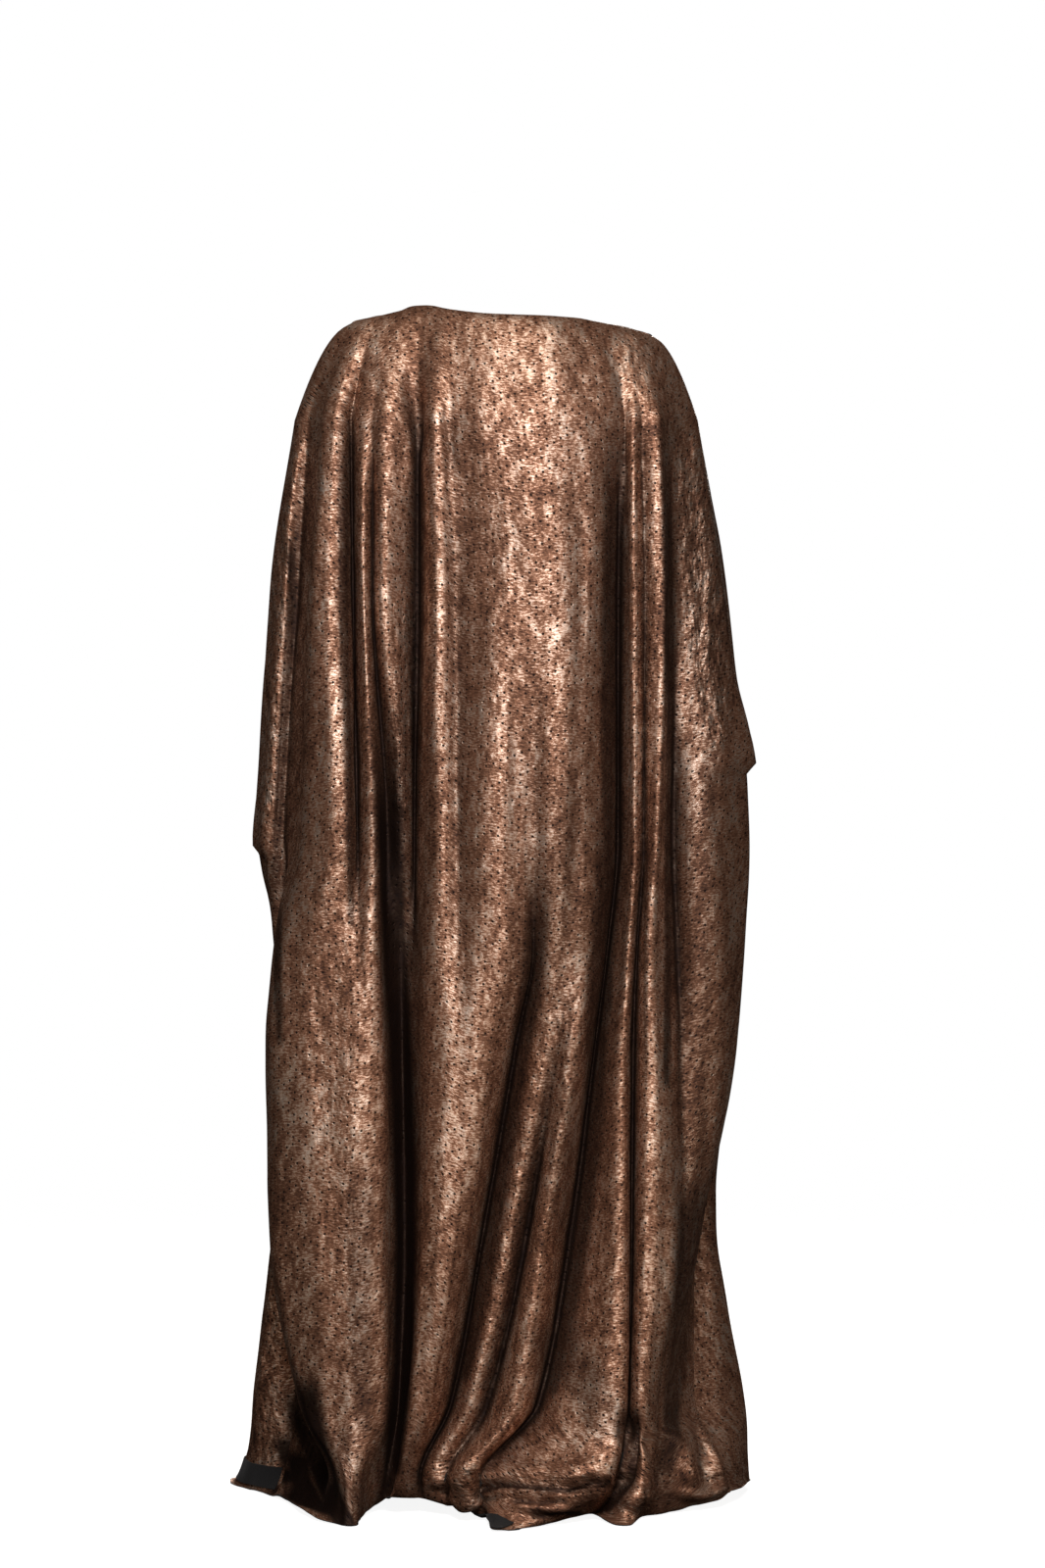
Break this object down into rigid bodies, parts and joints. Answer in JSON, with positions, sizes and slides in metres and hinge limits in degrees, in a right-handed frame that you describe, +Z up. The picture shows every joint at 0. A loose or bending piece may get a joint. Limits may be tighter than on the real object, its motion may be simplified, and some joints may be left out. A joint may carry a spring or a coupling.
{
  "type": "kaftan",
  "caption": "Floor-length batwing kaftan of foil-printed knit, hollow as worn, open at the neck, cuffs and hem, with deep hanging folds and a hem spread on the floor.",
  "frame": {"origin": "the point between the shoulders where the wearer carries the garment, 1.42 m above the floor the hem lies on", "axes": "+Z up, the back of the garment faces -Y, its front faces +Y, and the wearer's left arm is at -X"},
  "size_m": [0.6385, 0.4222, 1.4355],
  "materials": {
    "foil_knit_back": "bronze foil printed on black knit, soft metallic sheen",
    "foil_knit_front": "bronze foil printed on black knit, soft metallic sheen",
    "knit_reverse_left": "matt black knit, the cloth's reverse",
    "knit_reverse_back": "matt black knit, the cloth's reverse"
  },
  "bodies": {
    "root": {"back_panel": "foil_knit_back", "front_panel": "foil_knit_front", "left_hem_turn": "knit_reverse_left", "back_hem_turn": "knit_reverse_back"}
  },
  "joints": []
}
